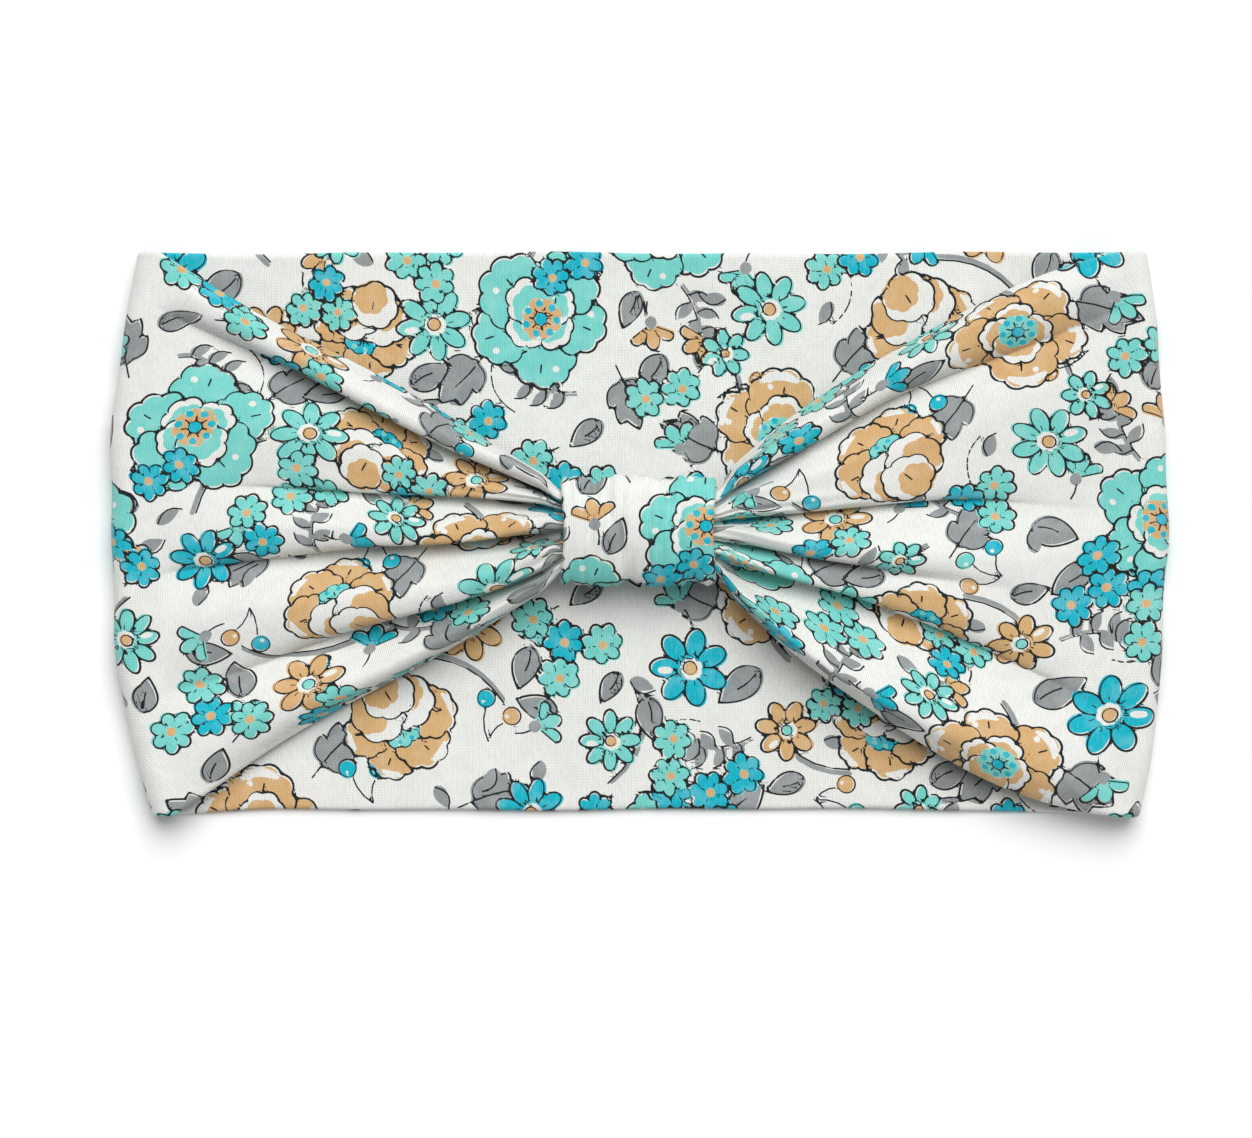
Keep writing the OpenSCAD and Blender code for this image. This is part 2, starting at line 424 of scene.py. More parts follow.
# The same rose seen more from the side: three long pale petals wrap round the cup.
def sideRose(sheet, spot, radius, petal, heart, middle):
    for turn, out, size in ((60, 0.5, 0.46), (125, 0.44, 0.5), (0, 0.56, 0.42), (185, 0.52, 0.48)):
        lobe = at(at(spot, 0, 0, turn), out * radius, 0)
        paint(sheet, lobe, scallop(size * radius, 9, 0.13, turn), petal, 1.0, (0.5, -0.4))
        paint(sheet, lobe, crescent(size * radius, 30, 0.72, 0.94), white)
        inkPath(sheet, lobe, [(radius * 0.12, -radius * 0.06), (radius * 0.23, -radius * 0.08)], 0.8)
    core = at(spot, 0, 0.1 * radius)
    paint(sheet, core, scallop(radius * 0.34, 8, 0.15, 0, 0.03), heart, 0.8, (0.2, -0.2))
    paint(sheet, core, ringOf(oval(radius * 0.22, 0, radius * 0.05, radius * 0.05), 6), middle)
    wedgeLine(sheet, core, 6, radius * 0.08, radius * 0.15, 25, 0.7)
    for turn, out, size in ((235, 0.42, 0.5), (310, 0.42, 0.52), (272, 0.56, 0.46)):
        lobe = at(at(spot, 0, 0, turn), out * radius, 0)
        paint(sheet, lobe, scallop(size * radius, 7, 0.12, turn, 0.03), white, 1.0, (0, 0))
        inside = at(lobe, 0.12 * radius, 0.1 * radius)
        paint(sheet, inside, scallop(size * radius * 0.72, 7, 0.14, turn), petal, hide=False)
        inkPath(sheet, lobe, [(-radius * 0.1, 0), (radius * 0.06, radius * 0.03)], 0.8)


def halfFlower(sheet, spot, size, colour, stalk=1.0):  # a small flower from the side, on a stalk
    inkPath(sheet, spot, bent(size * stalk, -0.6, 3), 0.8)
    head = at(spot, size * stalk, 0)

    def fan(p, q):  # petals round a disc, cut off behind two slanting lines
        petal = oval(size * 0.75, 0, size * 0.42, size * 0.29)(*folded(p + size * 0.2, q, 8))
        flower = np.minimum(petal, np.hypot(p + size * 0.2, q) - size * 0.5)
        return np.maximum(flower, 0.55 * np.abs(q) - p - size * 0.1)
    paint(sheet, head, fan, colour, 0.9, (0.35, -0.3))
    paint(sheet, at(head, -size * 0.4, 0), leafShape(size * 0.6, size * 0.5), grey)


def sprig(sheet, spot, length, pairs, leafLength):  # pairs of small leaves on a bent stem, and one at its tip
    path = bent(length, length * 0.12)
    paint(sheet, spot, stemShape(path, 0.35), grey, hide=False)
    inkPath(sheet, at(spot, 0.4, -0.5), path, 0.7)
    for k in range(pairs):
        x = length * (0.16 + 0.84 * k / pairs)
        y = length * 0.12 * 4 * x / length * (1 - x / length)
        smallLeaf(sheet, at(spot, x, y, 58), leafLength)
        smallLeaf(sheet, at(spot, x + 2.2, y, -52), leafLength, -1)
    smallLeaf(sheet, at(spot, length, 0, -12), leafLength * 1.1)


def berries(sheet, spot, colours):  # a fan of berries, each on its own stalk
    for k, colour in enumerate(colours):
        stalk = at(spot, 0, 0, 44 * k - 30)
        length = 6 + 2 * (k % 2)
        inkPath(sheet, stalk, bent(length, 0.8, 3), 0.7)
        paint(sheet, at(stalk, length + 1.7, 0), disc(2.0), colour, 0.7, (0.3, -0.25))
        paint(sheet, at(stalk, length + 1.2, 0.5), disc(0.5), white)


def stem(sheet, spot, length, rise):  # a bent stem, inked along one side
    path = bent(length, rise)
    paint(sheet, spot, stemShape(path, 0.55), grey, hide=False)
    inkPath(sheet, at(spot, 0.5, -0.7), path, 0.8)


def dashes(sheet, spot, length, rise):  # a bent, broken line
    inkPath(sheet, spot, bent(length, rise), 0.7, 2.0)


pair = [(0, 0), (1.8, 0.5)]
three = [(0, 0), (1.75, 0.7), (0.4, 1.8)]
four = [(0, 0), (1.8, 0.3), (3.5, -0.4), (1.6, 2.0)]

# Where each motif stands in the repeat: how far it reaches, then for each place X and Y from the lower left
# corner, its turn in degrees and its own values. Later ones lie over earlier ones.
printLayout = [
    (stem, 40, [
        (22, 58, 52, 24, 3), (70, 92, -36, 22, 4), (96, 32, 118, 24, -3), (50, 10, 152, 22, 3),
        (0, 18, 74, 22, 4), (40, 98, 18, 20, -3), (84, 66, -78, 16, 3),
    ]),
    (dashes, 20, [
        (46, 62, 96, 13, 2), (104, 80, 20, 11, -2), (28, 100, -64, 12, 2), (70, 14, 70, 12, 2),
    ]),
    (lobedLeaf, 24, [
        (38, 44, 200, 13, 12), (100, 54, -24, 14, 13), (72, 36, -130, 13, 12), (36, 88, 48, 13, 12),
        (4, 92, 112, 12, 11), (66, 104, 66, 13, 12),
    ]),
    (leaf, 20, [
        (10, 60, 176, 11, 6), (90, 68, 40, 12, 7), (98, 102, 224, 11, 6.5), (82, 2, -16, 11, 7),
        (24, 8, 74, 10, 6), (60, 48, 12, 10, 6), (112, 32, 60, 10, 6), (52, 94, -150, 10, 6),
        (18, 24, -20, 10, 5.5), (116, 74, 100, 10, 6),
    ]),
    (sprig, 28, [
        (50, 46, 84, 16, 3, 5), (92, 84, 4, 15, 3, 5), (108, 16, 104, 15, 3, 5),
        (14, 96, -20, 14, 3, 5), (66, 4, 134, 14, 2, 5),
    ]),
    (berries, 18, [
        (60, 44, -66, [teal, teal]), (8, 68, 24, [tan, teal]), (78, 98, 150, [teal, mint, tan]),
        (100, 42, 190, [teal, tan]), (34, 30, -100, [tan, teal]), (116, 106, 200, [mint, teal]),
    ]),
    (leaf, 20, [(0, 72, 70, 9, 5), (8, 102, 40, 9, 5), (80, 93, 20, 9, 5), (4, 14, 60, 8, 4.5)]),
    (halfFlower, 18, [(116, 20, 100, 5.5, tan), (50, 2, 60, 5.5, teal)]),
    (smallLeaf, 12, [
        (74, 20, 60, 6), (46, 40, 120, 6), (22, 34, 80, 6, -1), (14, 56, 30, 6), (50, 66, 130, 6),
        (60, 66, -20, 6, -1), (32, 36, 60, 6), (104, 84, 60, 6), (2, 16, 160, 6, -1), (72, 12, 30, 6),
        (98, 20, -10, 6), (46, 98, 70, 6, -1), (84, 104, 110, 6), (76, 84, 160, 6), (10, 50, 20, 6, -1),
    ]),
    (halfFlower, 18, [
        (98, 26, 30, 5.5, tan), (52, 52, 0, 5.5, teal), (18, 108, 40, 5.5, mint),
        (106, 58, -60, 5.5, mint), (34, 60, -100, 5.5, mint), (118, 96, 150, 5.5, teal),
        (66, 62, 24, 5.5, tan), (28, 28, 200, 5.5, mint), (92, 8, 70, 5.5, mint),
        (44, 108, 120, 5.5, mint), (76, 68, 100, 5.5, teal), (6, 42, 84, 5.5, tan),
    ]),
    (rose, 24, [(22, 78, 20, 16, mint, tan, teal, False), (86, 50, -30, 14.5, tan, mint, teal, True)]),
    (sideRose, 24, [(54, 26, 20, 13, tan, mint, teal)]),
    (rose, 24, [(112, 2, 70, 15, mint, tan, teal, False)]),
    (sideRose, 24, [(62, 82, -20, 12, tan, teal, mint)]),
    (daisy, 14, [
        (46, 80, 10, 8.5, 8, mint, tan), (106, 68, 0, 9, 7, teal, tan), (24, 46, 30, 8, 8, teal, tan),
        (88, 22, 12, 8.5, 8, mint, tan), (38, 4, 0, 8, 7, tan, mint), (84, 82, 40, 7, 7, tan, mint),
        (6, 30, 0, 7, 8, mint, tan), (68, 60, 0, 6.5, 8, mint, tan),
    ]),
    (cluster, 34, [
        (44, 62, 0, 4.8, [mint, mint, mint], three), (94, 92, 20, 4.8, [teal, teal, teal, teal], four),
        (8, 8, -14, 4.8, [mint, teal, mint, mint], four), (38, 50, 100, 4.6, [teal, mint], pair),
        (74, 4, 60, 4.6, [mint, mint, teal], three), (110, 84, 70, 4.6, [mint, mint], pair),
        (34, 102, 10, 4.6, [teal, mint], pair), (108, 40, 0, 4.6, [mint, mint], pair),
        (4, 52, -60, 4.4, [teal, teal], pair), (12, 66, 10, 4.4, [teal, teal], pair),
    ]),
    (daisy, 12, [(98, 32, 20, 5.6, 7, mint, tan), (54, 100, 5, 5.4, 7, mint, tan)]),
    (cluster, 34, [(76, 76, 150, 4.2, [mint, mint, teal], three)]),
]


def drawPrint(piece, cloth):  # draws the whole print for a mesh, and keeps it as attributes of its points
    sheet = newSheet(cloth)
    for motif, radius, places in printLayout:
        for x, y, turn, *values in places:
            motif(sheet, spotOn(sheet, x, y, turn, radius), *values)
    fill = np.clip(sheet["fill"], -farAway, farAway).astype(np.float32)
    ink = np.column_stack([sheet["toInk"], sheet["reach"]]).astype(np.float32)
    for name, values in (("printFill", fill[:, :3]), ("printInk", ink)):
        attribute = piece.data.attributes.new(name, "FLOAT_VECTOR", "POINT")
        attribute.data.foreach_set("vector", values.ravel())
    attribute = piece.data.attributes.new("printGrey", "FLOAT", "POINT")
    attribute.data.foreach_set("value", fill[:, 3].copy())


# The left and the right end. top, bottom: how far the side fold draws in at each corner; power: how suddenly;
# waves: how uneven it is; topDroop, bottomDroop: how far the front's long edges hang before the wrap.
outline = {
    -1: {"top": 6.3, "bottom": 9.7, "power": 2.2, "waves": 0.6, "topDroop": 2.4, "bottomDroop": 4.5},
    1: {"top": 4.5, "bottom": 6.2, "power": 2.4, "waves": 0.5, "topDroop": 2.4, "bottomDroop": 0.4},
}


def acrossColumns(pitch):  # columns from one fold to the other, closer together round each folded edge
    half, thick = band["halfWidth"], band["thickness"] / 2
    count = 2 * int((half - thick) / pitch) + 1
    middle = np.linspace(half - thick, thick - half, count)
    turn = np.linspace(math.pi / 2, 0, band["edgeColumns"], endpoint=False)
    edge = half - thick + thick * np.sin(turn)
    return np.concatenate([edge, middle, -edge[::-1]])


def edgeShare(y):  # the tube's thickness as a share of the full one: round at each folded edge
    half, thick = band["halfWidth"], band["thickness"] / 2
    return np.sqrt(np.clip(1 - np.clip((np.abs(y) - half + thick) / thick, 0, 1) ** 2, 0, 1))


# Where the middle of the cloth is furthest out: the band's end, less the draw-in, plus two sine waves.
def sideX(side, y):
    shape = outline[side]
    drawIn = np.where(y > 0, shape["top"], shape["bottom"]) * np.abs(y / band["halfWidth"]) ** shape["power"]
    ripple = shape["waves"] * (np.sin(y / 9 + side) + 0.6 * np.sin(y / 4.1 + 2))
    ripple = ripple * (1 - np.abs(y) / band["halfWidth"])
    return band["halfLength"] - band["sideRoom"] - band["thickness"] / 2 - drawIn + ripple


# How far the long edges stand in from the full width, as a share of it: two sine waves along the band.
def edgeWave(x):
    return (0.35 + 0.2 * np.sin(x / 19) + 0.15 * np.sin(x / 7.3 + 1)) / band["halfWidth"]


# How far the lower corners hang: an S curve along the band towards its ends, times one across it.
def cornerDrop(x, y):
    return band["cornerDrop"] * smooth((np.abs(x) - 75) / 40) * smooth((-y - 15) / 45)


def innerV(y):  # cloth coordinate on the inner side, which carries on round each folded edge
    return np.where(y >= 0, 2 * band["halfWidth"] - y, -2 * band["halfWidth"] - y)


def seamGroove(y):  # a bell curve across the band
    return band["seamDepth"] * np.exp(-((y / (band["seamWidth"] / 2)) ** 2))


# The back: flat along X, then a quarter circle up at each side. Its upper side carries soft waves, which are
# products of sines along and across.
def backSurface():
    flatRows = int(2 * (band["halfLength"] - band["foldRadius"]) / band["backPitch"])
    radius = band["foldRadius"]
    y = acrossColumns(band["backPitch"])[None, :]
    s = np.linspace(-1, 1, flatRows)[:, None]
    leftX, rightX = sideX(-1, y) - radius, sideX(1, y) - radius
    flatX = np.where(s < 0, s * leftX, s * rightX)
    waves = band["waves"] * np.sin(flatX / 15 + y / 23) * np.sin(y / 15 + 0.6)
    waves = waves + band["ripples"] * np.sin(flatX / 7 + y / 5)
    flatZ = band["backMiddle"] + 0 * flatX
    turn = np.linspace(0, math.pi / 2, band["backBend"] + 1)[1:, None]
    right = (rightX + radius * np.sin(turn), band["backMiddle"] + radius * (1 - np.cos(turn)) + 0 * y)
    left = (-leftX - radius * np.sin(turn[::-1]), right[1][::-1])
    x = np.concatenate([left[0], flatX, right[0]])
    z = np.concatenate([left[1], flatZ, right[1]])
    nx = np.concatenate([np.sin(turn[::-1]) + 0 * y, 0 * flatX, -np.sin(turn) + 0 * y])
    nz = np.concatenate([np.cos(turn[::-1]) + 0 * y, 0 * flatX + 1, np.cos(turn) + 0 * y])
    lift = np.concatenate([0 * left[0], waves * smooth(4 * (1 - np.abs(s))), 0 * right[0]])
    thick = band["thickness"] / 2 * edgeShare(y)
    inner = thick + lift * edgeShare(y) - 0.2 * np.abs(lift) - seamGroove(y)
    y = y + 0 * x
    place = y * (1 - edgeWave(x)) - cornerDrop(x, y)
    upper = np.stack([x + nx * inner, place, z + nz * inner], -1)
    lower = np.stack([x - nx * thick, place, z - nz * thick], -1)
    rightU = -(rightX + radius * turn)
    along = np.concatenate([(leftX + radius * turn)[::-1], -flatX, rightU])
    return upper, lower, np.stack([along, innerV(y)], -1), np.stack([along, y], -1)


# Pleats of the left and the right half of the front, from the top edge to the bottom one: valleys, the
# edges among them, alternate with ridges. Each line has its Y at the side fold, its Y at the wrap, how far
# it bends up on the way, its depth, which is 1 for a full crease, and how far from the wrap it can be seen.
pleats = {
    -1: [
        (63.5, 10.7, 0, 0.9, 120),
        (58, 9.8, 0.5, 1.4, 130),
        (51, 7.4, -1, 1.7, 110),
        (31, 6.8, 0, 0.4, 90),
        (10, 5.6, 0, 1.2, 92),
        (0, 3.0, 0, 1.0, 100),
        (-12, -0.4, 0, 1.6, 120),
        (-24, -3.6, 0, 1.0, 96),
        (-38, -7.2, -4, 1.6, 116),
        (-51, -9.2, -2, 0.6, 100),
        (-63.5, -11.2, 0, 1.2, 120),
    ],
    1: [
        (63.5, 11.2, 8, 0.9, 120),
        (59, 10.0, 6, 1.2, 120),
        (51, 7.4, 2, 1.0, 110),
        (34, 6.0, 2, 0.5, 80),
        (5, 2.6, 0, 1.3, 106),
        (-8, 0.4, 0, 1.1, 90),
        (-20, -2.6, 1, 0.6, 50),
        (-30, -4.6, 2, 0.7, 70),
        (-44, -7.0, 3, 1.4, 100),
        (-58, -9.4, -7, 1.3, 140),
        (-63.5, -11.2, -11, 0.4, 120),
    ],
}

gather = {
    "middle": 11.3,       # height of the middle of the gathers at the wrap
    "ridge": 4.1,         # how far a full ridge stands above that
    "valley": 4.9,        # how far a full crease lies below it
    "tuck": 1.2,          # how far cloth crowds into a crease where the pleats draw together
    "squeeze": 0.55,      # share of the relief that is left inside the wrap
    "lean": 0.8,          # how far a ridge leans towards the crease below it, for each millimetre of height
    "sway": 0.9,          # how far the pleat lines wander sideways
    "gathers": 0.8,       # height of the fine gathers beside the wrap
    "lowest": 3.2,        # nothing of the front hangs lower than this
    "under": 0.85,        # share of the relief that shows on the underside
    "innerEnd": 1.25,     # where the cloth ends inside the wrap
    "innerThick": 0.7,    # half the thickness of the cloth inside the wrap
    "insideWidth": 0.84,  # share of the gathers' width that is left inside the wrap
    "roomY": 10.6,        # half the width and half the height of the room inside the wrap
    "roomZ": 2.9,
}


# Place across and height of the front at each row and column. Between two pleat lines the place across is a
# power of the share of the way from the crease, so that it runs slowly near the crease, where cloth is
# tucked away. The height is a quarter sine of that share: it falls steeply from a ridge into the crease
# below, and climbs gently out of that crease to the next ridge.
def frontSection(side, distance, fan, y0, sharpness):
    sides, mouth, bow, depth, reach = np.array(pleats[side]).T
    column = np.clip(np.searchsorted(-sides, -y0, side="right") - 1, 0, len(sides) - 2)
    share = (sides[column] - y0) / (sides[column] - sides[column + 1])
    fromValley = np.where(column % 2 == 0, share, 1 - share)

    def lineY(k):  # a straight line from the mouth to the side fold, plus a parabola
        sway = gather["sway"] * np.sin(7 * fan + 2.3 * k + side)
        return mix(mouth[k], sides[k], fan) + (bow[k] + sway) * 4 * fan * (1 - fan)

    def fall(k):  # a pleat's share of its full depth, from 1 at the wrap to 0 at its reach
        return np.clip(1 - np.clip(distance / reach[k], 0, 1) ** 1.6, 0, 1) ** 1.5

    valley = np.where(column % 2 == 0, column, column + 1)
    ridge = np.where(column % 2 == 0, column + 1, column)
    sharp = sharpness * fall(valley) ** 0.8 * np.minimum(depth[valley], 1)
    drawn = np.abs(sides[valley] - sides[ridge]) / np.maximum(np.abs(lineY(valley) - lineY(ridge)), 0.05)
    yShare = fromValley ** (1 + np.clip(drawn - 1, 0, gather["tuck"] * sharp))
    gentle = np.sin(math.pi / 2 * yShare) ** (1 + 1.6 * sharp)
    steep = np.sin(math.pi / 2 * fromValley) ** (1 - 0.45 * sharp)
    rise = np.where(column % 2 == 0, mix(np.sin(math.pi / 2 * fromValley), gentle, sharpness), steep)
    y = mix(lineY(valley), lineY(ridge), yShare)
    swell = mix(gather["squeeze"], 1, smooth((distance + 2) / 14))
    low = -gather["valley"] * depth[valley] * fall(valley) * swell
    high = gather["ridge"] * depth[ridge] * fall(ridge) * swell
    relief = mix(low, high, rise)
    y = y - gather["lean"] * relief * smooth(distance / 26) * (1 - np.abs(y0 / band["halfWidth"]) ** 8)
    return y, relief


def keptUp(height, lowest):  # the larger of the two, with a soft turn from one to the other
    return np.logaddexp(height * 2, lowest * 2) / 2


# Moves the columns of a surface so that in every row they stand at even steps along the cloth. The columns
# that go round a folded edge stay. A surface has X, Y, Z and the cloth coordinate along the band at each
# point.
def evenColumns(surface, count, kept):
    middle = surface[:, kept:-kept]
    step = np.hypot(np.diff(middle[..., 1], axis=1), np.diff(middle[..., 2], axis=1))
    length = np.concatenate([np.zeros((len(middle), 1)), np.cumsum(step, 1)], 1)
    rowStart = 2.0 * np.arange(len(middle))[:, None]    # keeps the rows apart, so one call serves them all
    place = (length / length[:, -1:] + rowStart).ravel()
    wanted = np.linspace(0, 1, count) + rowStart
    even = [np.interp(wanted.ravel(), place, middle[..., k].ravel()).reshape(wanted.shape) for k in range(4)]
    return np.concatenate([surface[:, :kept], np.stack(even, -1), surface[:, -kept:]], 1)


# Relief that fits between the two layers of the wrap: the room inside an oval, times the hyperbolic tangent
# of the relief over that room.
def fitted(relief, y):
    room = gather["roomZ"] * np.sqrt(np.clip(1 - (y / gather["roomY"]) ** 2, 0, 1)) - gather["innerThick"]
    room = np.maximum(room, 0.1)
    return room * np.tanh(relief / room)


# One half of the front: a quarter circle at the side fold, then pleats that run to the wrap and into it.
# The height is a middle line that rises to the wrap, less the droop of the long edges, plus the relief and
# fine ripples. The underside has the same pleats, but softer.
def frontSurface(side):
    radius = band["foldRadius"]
    flatLength = band["halfLength"] - gather["innerEnd"]
    rows = int(flatLength / band["frontPitch"])
    y0 = acrossColumns(band["frontPitch"] / 4)[None, :]
    outerX = sideX(side, y0) - radius
    share = np.linspace(0, 1, rows)[:, None]
    x = mix(outerX, gather["innerEnd"], share)
    distance = x - band["wrapEnd"]
    fan = np.clip(distance / (outerX - band["wrapEnd"]), 0, 1)
    inside = smooth((5 - distance) / 6)
    middle = mix(gather["middle"], band["frontMiddle"], smooth(fan**0.8))
    middle = mix(middle, middleZ(), inside)
    edge = np.abs(y0 / band["halfWidth"]) ** 6
    hang = np.where(y0 > 0, outline[side]["topDroop"], outline[side]["bottomDroop"])
    droop = hang * edge * np.sin(math.pi * np.clip(fan, 0, 1) ** 0.8)
    thick = mix(gather["innerThick"], band["thickness"] / 2, smooth(fan * 3)) * edgeShare(y0)
    settled = smooth(8 * (1 - fan))

    y, relief = frontSection(side, distance, fan, y0, 1.0)
    near = np.exp(-np.clip(distance, 0, 200) / 16)
    fine = np.sin(y0 * 0.95 + 0.03 * distance + side) * (0.6 + 0.4 * np.sin(y0 * 0.31 + side))
    slanting = 0.7 * np.sin(y0 / 5.1 + fan * 5 + side) * np.sin(y0 / 17 + 2 * side) * (1 - fan) * settled
    wide = 0.5 * np.sin(x / 13 + y0 / 9 + 2 * side) * np.sin(y0 / 21) * smooth(fan * 3)
    ripple = gather["gathers"] * near * fine + slanting + wide
    relief = (relief + ripple * (1 - edge)) * settled
    squeezeY = mix(1, gather["insideWidth"], inside)
    relief = mix(relief, fitted(relief, y * squeezeY), inside)
    centre = keptUp(middle - droop + relief, gather["lowest"] + 1)
    along = 2 * outerX + radius * math.pi - x
    upper = np.stack([x, y * squeezeY, centre + thick, along], -1)
    yUnder, reliefUnder = frontSection(side, distance, fan, y0, 0.0)
    reliefUnder = (reliefUnder * gather["under"] - 0.9 * smooth(1 - fan)) * settled
    reliefUnder = mix(reliefUnder, fitted(reliefUnder, yUnder * squeezeY), inside)
    blend = smooth((1 - np.abs(y0) / band["halfWidth"]) * 8)
    reliefUnder = mix(relief, np.minimum(reliefUnder, relief), blend)
    yUnder = mix(y, yUnder, blend)
    centreUnder = keptUp(middle - droop + reliefUnder, gather["lowest"] + 1)
    under = np.stack([x, yUnder * squeezeY, centreUnder - thick + seamGroove(y0), along], -1)

    turn = np.linspace(0, math.pi / 2, band["frontBend"] + 1)[:-1, None]
    thickBend = band["thickness"] / 2 * edgeShare(y0)
    bendX, bendZ = outerX + radius * np.cos(turn), band["frontMiddle"] - radius * (1 - np.sin(turn))
    nx, nz = np.cos(turn) + 0 * y0, np.sin(turn) + 0 * y0
    spread = y0 + 0 * bendX
    along = outerX + radius * (math.pi / 2 + turn)
    upperBend = np.stack([bendX + nx * thickBend, spread, bendZ + nz * thickBend, along], -1)
    inner = thickBend - seamGroove(y0)
    underBend = np.stack([bendX - nx * inner, spread, bendZ - nz * inner, along], -1)
    v = acrossColumns(band["frontPitch"])
    kept = band["edgeColumns"]
    flatColumns = len(v) - 2 * kept
    upper = evenColumns(np.concatenate([upperBend, upper]), flatColumns, kept)
    under = evenColumns(np.concatenate([underBend, under]), flatColumns, kept)
    for surface in (upper, under):
        surface[..., 0] *= side
        surface[..., 3] *= -side
        surface[..., 1] *= 1 - edgeWave(surface[..., 0])
        surface[..., 1] -= cornerDrop(surface[..., 0], surface[..., 1])
    v = v + 0 * upper[..., 3]
    upperCloth = np.stack([upper[..., 3], v], -1)
    underCloth = np.stack([under[..., 3], innerV(v)], -1)
    return upper[..., :3], under[..., :3], upperCloth, underCloth


wrapShape = {
    "cloth": 0.7,         # half the thickness of the folded strip
    "squareness": 0.98,   # power of the oval that the strip goes round: 1 is an ellipse, less is boxier
    "crown": 2.2,         # how far the top stands above that oval in the middle of its way across
    "bulge": 0.7,         # how far it stands up half way between its two edges
    "wrinkle": 0.8,       # height of the wrinkles
    "creases": [          # place along the band, half width, slant and depth of each deeper wrinkle
        (-12.5, 1.6, 2.5, 1.0),
        (-5.5, 2.2, -3.0, 1.3),
        (1.5, 1.8, 2.0, 0.9),
        (9, 2.0, -2.5, 1.1),
        (14.5, 1.2, 1.5, 0.7),
    ],
    "waist": 0.7,         # how far its two edges draw in on top
    "rowsRound": 176,     # rows of points round the strip, and columns along its width
    "columns": 61,
    "cut": 57,            # length of the strip before it is closed
    "cutFrom": (7, 92),   # where in the print the strip was cut
}


# A strip carried round a flat oval at even steps along its length. The oval is a superellipse: Y and Z
# follow a power of the cosine and the sine. Its outer side stands out by cosines for the crown and the
# bulge, and by wrinkles: two sine waves less a bell curve for each crease. They die out at its edges and
# underneath.
def wrapSurface():
    a = np.linspace(0, 2 * math.pi, 2001)
    thick = wrapShape["cloth"]
    halfY, halfZ = wrapHigh[1] - thick, (wrapHigh[2] - wrapLow[2]) / 2 - thick
    pathY = halfY * np.sign(np.cos(a)) * np.abs(np.cos(a)) ** wrapShape["squareness"]
    pathZ = halfZ * np.sign(np.sin(a)) * np.abs(np.sin(a)) ** wrapShape["squareness"]
    length = np.concatenate([[0], np.cumsum(np.hypot(np.diff(pathY), np.diff(pathZ)))])
    along = np.linspace(0, length[-1], wrapShape["rowsRound"], endpoint=False)
    y0, z0 = np.interp(along, length, pathY)[:, None], np.interp(along, length, pathZ)[:, None]
    stepY, stepZ = np.roll(y0, -1, 0) - np.roll(y0, 1, 0), np.roll(z0, -1, 0) - np.roll(z0, 1, 0)
    step = np.hypot(stepY, stepZ)
    ny, nz = stepZ / step, -stepY / step
    t = np.linspace(-1, 1, wrapShape["columns"])[None, :]
    t = np.sin(t * math.pi / 2) * 0.3 + t * 0.7
    top = smooth(0.5 + z0 / halfZ)
    x = t * (band["wrapEnd"] - wrapShape["waist"] * top * np.cos(math.pi / 2 * y0 / wrapHigh[1]) ** 2)
    sway = x + 0.5 * np.sin(y0 / 3.4 + x / 4)
    wrinkle = 0.35 * np.sin(sway * 1.9 - y0 / 4) + 0.2 * np.sin(sway * 3.1 + y0 / 3)
    for place, width, slant, deep in wrapShape["creases"]:
        wrinkle = wrinkle - deep * np.exp(-(((sway - place - slant * y0 / 10) / width) ** 2))
    wrinkle = wrapShape["wrinkle"] * wrinkle * (1 - t**8) * smooth(0.9 + z0 / halfZ)
    swell = wrapShape["bulge"] * np.cos(math.pi / 2 * t) * top + wrinkle
    swell = swell + wrapShape["crown"] * top * np.cos(math.pi / 2 * y0 / wrapHigh[1])
    half = thick * np.sqrt(1 - np.clip((np.abs(t) - 0.95) / 0.05, 0, 1) ** 2)
    outerPoints = np.stack([x, y0 + ny * (half + swell), middleZ() + z0 + nz * (half + swell)], -1)
    innerPoints = np.stack([x, y0 - ny * half, middleZ() + z0 - nz * half], -1)
    return outerPoints, innerPoints, along[:, None] * wrapShape["cut"] / length[-1]


def middleZ():  # height of the middle of the wrap
    return (wrapHigh[2] + wrapLow[2]) / 2


def wrapMesh():  # the strip as one closed mesh, with the print it was cut from
    outerPoints, innerPoints, along = wrapSurface()
    columns = outerPoints.shape[1]
    points = np.concatenate([outerPoints, innerPoints[:, columns - 2 : 0 : -1]], 1)
    rows, ring = points.shape[:2]
    u = points[..., 0] + wrapShape["cutFrom"][0]
    cloth = np.stack([u, wrapShape["cutFrom"][1] - along + 0 * u], -1).reshape(-1, 2)
    piece = makeMesh("wrap_cloth", points.reshape(-1, 3), ringFaces(rows, ring, True), (), cloth)
    drawPrint(piece, cloth)
    return piece


def srgb(r, g, b):  # screen colour, 0 to 255, as the shader's linear one
    def linear(c):
        c = c / 255
        return c / 12.92 if c <= 0.04045 else ((c + 0.055) / 1.055) ** 2.4
    return (linear(r), linear(g), linear(b), 1.0)


jersey = {
    "ground": srgb(239, 240, 235),
    "mint": srgb(122, 217, 208),
    "teal": srgb(0, 186, 206),
    "tan": srgb(220, 178, 122),
    "grey": srgb(150, 155, 156),
    "ink": srgb(24, 30, 32),
    "bleed": 0.24,         # how far the edge of a colour wanders
    "inkWidth": 0.25,      # half the width of a full line
    "inkBleed": 0.14,      # how much that wanders
    "inkFade": 0.14,       # length over which a line fades at its reach
    "skip": 0.12,          # how much thinner a line gets where the print missed
    "soft": 0.07,          # half the width of the soft edge of a colour or line
    "fade": 0.14,          # how far the colours thin out towards the bare cloth
    "rib": 0.8,            # width of one column of stitches
    "course": 0.62,        # height of one row of stitches
    "gap": 0.72,           # painted shade: how dark the cloth is painted between stitches
    "slub": 0.05,          # unevenness of the yarn, as light and dark
    "bump": 0.4,           # strength of the stitches' relief
    "roughness": 0.88,
    "sheen": 0.15,         # fuzz that lights up the cloth's edges
}


